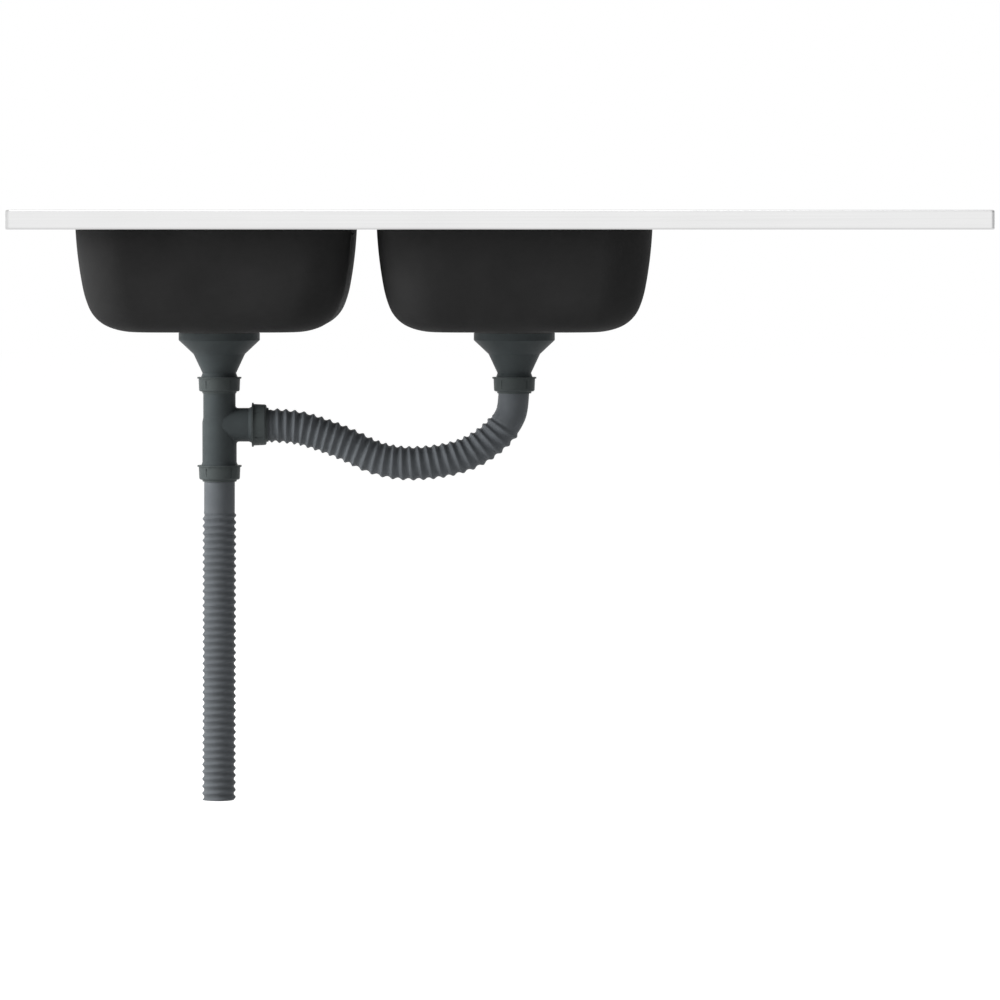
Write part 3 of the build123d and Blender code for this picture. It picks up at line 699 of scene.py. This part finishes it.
inside = np.concatenate([inside_wall, floor_rows(inside_wall)])
outside = np.concatenate([outside_wall, floor_rows(outside_wall)])
shell = np.concatenate([inside, outside[::-1]])
for side, x in sides:
    piece = grid_object(f"{side}_bowl_shell", shell + [x, bowl_y, 0.0], close_rows=True)
    piece.data.materials.append(finishes["bowl_steel"])
    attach(piece, "sink")
    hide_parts(f"{side}_bowl")

# %% [markdown]
# ## The sound coat
#
# Thin steel rings like a drum under a tap, so the bowls are sprayed outside with a black
# coat a millimetre thick. It starts a few millimetres under the welded seam, where the spray
# thins out in a slightly wavy edge, and leaves the seat round the waste bare. It is the bowl's
# outside profile again, between one and two skins further out.

# %% Sound coat
coat = 0.0010
coat_below_seam = 0.0035
coat_hole, hole_bevel = 0.0635, 0.0006
spray_rise, ripple_height = 0.0012, 0.0005      # the thin edge climbs this far, and waves
edge_thickness = 0.6           # where the coat begins, of its full thickness
coat_start = int(np.argmax(drop > coat_below_seam))


def coat_rows(skin, floor_count=6):
    """One face of the coat, from its upper edge to the bare ring round the waste."""
    wall = wall_rows(skin, coat_start)
    rim = round_rows(wall[-1], [coat_hole + hole_bevel], [wall[-1, 0, 2]])
    return np.concatenate([wall, between(wall[-1], rim[0], floor_count), rim])


inner, outer = coat_rows(sheet), coat_rows(sheet + coat)
angle = np.linspace(0.0, tau, outer.shape[1], endpoint=False)
waves = np.sin(7 * angle) + 0.6 * np.sin(19 * angle + 1.0) + 0.4 * np.sin(41 * angle + 2.0)
ripple = ripple_height * waves
edge = inner[:1].copy()
edge[0, :, 2] += spray_rise + ripple
outer[0] = inner[0] + (outer[0] - inner[0]) * edge_thickness
outer[0, :, 2] += ripple / 2
hole = round_rows(inner[-1], [coat_hole], [inner[-1, 0, 2]])
skin_grid = np.concatenate([edge, outer, hole, inner[-2:0:-1]])
for side, x in sides:
    placed = skin_grid + [x, bowl_y, 0.0]
    piece = grid_object(f"{side}_coat_skin", placed, close_rows=True, crease=50.0)
    piece.data.materials.append(finishes["sound_coat"])
    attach(piece, "sink")
    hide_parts(f"{side}_sound_coat")

# %% [markdown]
# ## The hoses
#
# The hoses have ribs with round crests and end in smooth cuffs. Here the ribs are one long
# right-handed screw: the radius of the tube is a function of the way along it and the angle
# round it, so the crest climbs round the hose. The screw is a choice. Plain rings, as the CAD
# hoses have them, match the photograph about as well. The line that the hose follows is a smooth
# NURBS spline through the route of the CAD hose.

# %% The line of each hose
branch_z = -0.24553
link_route = [
    (-0.3223, branch_z), (-0.2648, branch_z), (-0.2240, -0.2575), (-0.1895, -0.2715),
    (-0.1580, -0.2875), (-0.1255, -0.2945), (-0.0880, -0.2935), (-0.0550, -0.2875),
    (-0.0300, -0.2775), (-0.0070, -0.2610), (0.0095, -0.2425), (right_x, -0.22103),
    (right_x, -0.17503),
]
drain_route = [
    (left_x, -0.28603), (left_x - 0.0006, -0.43), (left_x - 0.0012, -0.575),
    (left_x - 0.0018, -0.71903),
]


def spline_points(name, route, spacing):
    """Evenly spaced points and directions along the NURBS spline of a route of (x, z) points.

    The way along the spline is the sum of its short straight steps, and both results are read
    off at even steps of it.
    """
    data = bpy.data.curves.new(name, "CURVE")
    data.dimensions = "3D"
    data.resolution_u = 24
    spline = data.splines.new("NURBS")
    spline.points.add(len(route) - 1)
    for point, (x, z) in zip(spline.points, route):
        point.co = (x, bowl_y, z, 1.0)
    spline.order_u = 3
    spline.use_endpoint_u = True
    line = bpy.data.objects.new(name, data)
    bpy.context.scene.collection.objects.link(line)
    mesh = bpy.data.meshes.new_from_object(line)
    raw = np.zeros(len(mesh.vertices) * 3)
    mesh.vertices.foreach_get("co", raw)
    raw = raw.reshape(-1, 3)
    bpy.data.objects.remove(line)
    bpy.data.meshes.remove(mesh)
    steps = np.linalg.norm(np.diff(raw, axis=0), axis=1)
    along = np.concatenate([[0.0], np.cumsum(steps)])
    even = np.linspace(0.0, along[-1], int(along[-1] / spacing) + 1)
    points = np.stack([np.interp(even, along, raw[:, k]) for k in range(3)], axis=1)
    directions = np.gradient(points, even, axis=0)
    directions /= np.linalg.norm(directions, axis=1, keepdims=True)
    print(f"{name}: {along[-1] * 1000:.1f} mm along its line")
    return even, points, directions


# %% Corrugated tube
cuff_radius, bore_radius = 0.0194, 0.0168
rows_per_pitch = 12
second_wave = 0.12             # height of the second harmonic, which flattens the valleys
valley_shade_height = 0.45             # how far up the ribs the painted valley shade reaches, of their depth
# painted shade inside the bore, of the outside's colour
bore_shade_tone = 0.8


def outward_of(directions, angle):
    """Unit vectors out of the line at each angle a: side * cos a + (direction x side) * sin a."""
    side = np.array([0.0, 1.0, 0.0])
    up = np.cross(directions, side)
    return side * np.cos(angle)[None, :, None] + up[:, None, :] * np.sin(angle)[None, :, None]


def ribbed_share(along, cuffs, pitch):
    """1 where the tube is ribbed and 0 on its cuffs, with 3 t^2 - 2 t^3 over half a pitch."""
    cuff_start, cuff_end = cuffs
    t = np.clip((along - cuff_start) / (0.5 * pitch), 0.0, 1.0)
    if cuff_end:
        t = np.minimum(t, np.clip((along[-1] - cuff_end - along) / (0.5 * pitch), 0.0, 1.0))
    return (t * t * (3 - 2 * t))[:, None]


def corrugated(name, route, cuffs, pitches, radii, first, valley_shade_tone, around=60):
    """Corrugated hose with smooth cuffs; the radii are the crest's and the valley's.

    With s the way along the line and a the angle round it, the radius between the cuffs is
    the mean radius + half the depth * wave(turns - a / one turn), where turns is the sum of
    ds / pitch. `pitches` gives the pitch at places along the line, as a hose that is bent by
    hand is pulled longer in one stretch than in another, and `first` is where a crest faces
    the front. The wave is a cosine with a second harmonic; the minus sign makes the screw
    right-handed. The bore is a plain tube that meets the outside at both ends, which closes
    the wall. The valleys are painted darker as shade, down to the valley tone, and the bore is
    painted darker as shade too.
    """
    crest_radius, valley_radius = radii
    depth = crest_radius - valley_radius
    along, points, directions = spline_points(name, route, pitches[0][1] / rows_per_pitch)
    pitch = np.interp(along, *zip(*pitches))
    turns = np.concatenate([[0.0], np.cumsum(np.diff(along) / pitch[1:])])
    turns -= np.interp(first, along, turns) + 0.5
    angle = np.linspace(0.0, tau, around, endpoint=False)
    outward = outward_of(directions, angle)
    phase = turns[:, None] - angle[None, :] / tau
    wave = np.cos(tau * phase) + second_wave * np.cos(2 * tau * phase)
    share = ribbed_share(along, cuffs, pitch)
    ribbed = (crest_radius + valley_radius) / 2 + depth / 2 * wave
    radius = cuff_radius + (ribbed - cuff_radius) * share
    outer = points[:, None, :] + outward * radius[:, :, None]
    inner = points[:, None, :] + outward * bore_radius
    piece = grid_object(name, np.concatenate([outer, inner[::-1]]), close_rows=True, crease=60.0)
    # painted shade: darker towards the bottom of each valley, and on the bore
    rise = np.clip((radius - valley_radius) / (valley_shade_height * depth), 0.0, 1.0)
    painted_shade = 1.0 - (1.0 - valley_shade_tone) * (1.0 - rise) * share
    attribute(piece, "painted_shade", np.concatenate([painted_shade, np.full_like(painted_shade, bore_shade_tone)]))
    return piece, points


# %% Hoses
link_pitches = [(0.0, 0.0103), (0.105, 0.0103), (0.155, 0.0116), (0.26, 0.0116), (0.36, 0.0113)]
drain_pitches = [(0.0, 0.00913), (0.433, 0.00913)]
link, link_line = corrugated(
    "link_hose_skin", link_route, (0.031, 0.070), link_pitches, (0.0216, 0.01875),
    first=0.0334, valley_shade_tone=0.98,
)
drain, drain_line = corrugated(
    "drain_hose_skin", drain_route, (0.0685, 0.0), drain_pitches, (0.0211, 0.01865),
    first=0.0666, valley_shade_tone=0.74,
)
for piece, node in ((link, "link_hose"), (drain, "drain_hose")):
    piece.data.materials.append(finishes["hose_plastic"])
    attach(piece, "sink")
    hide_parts(node)
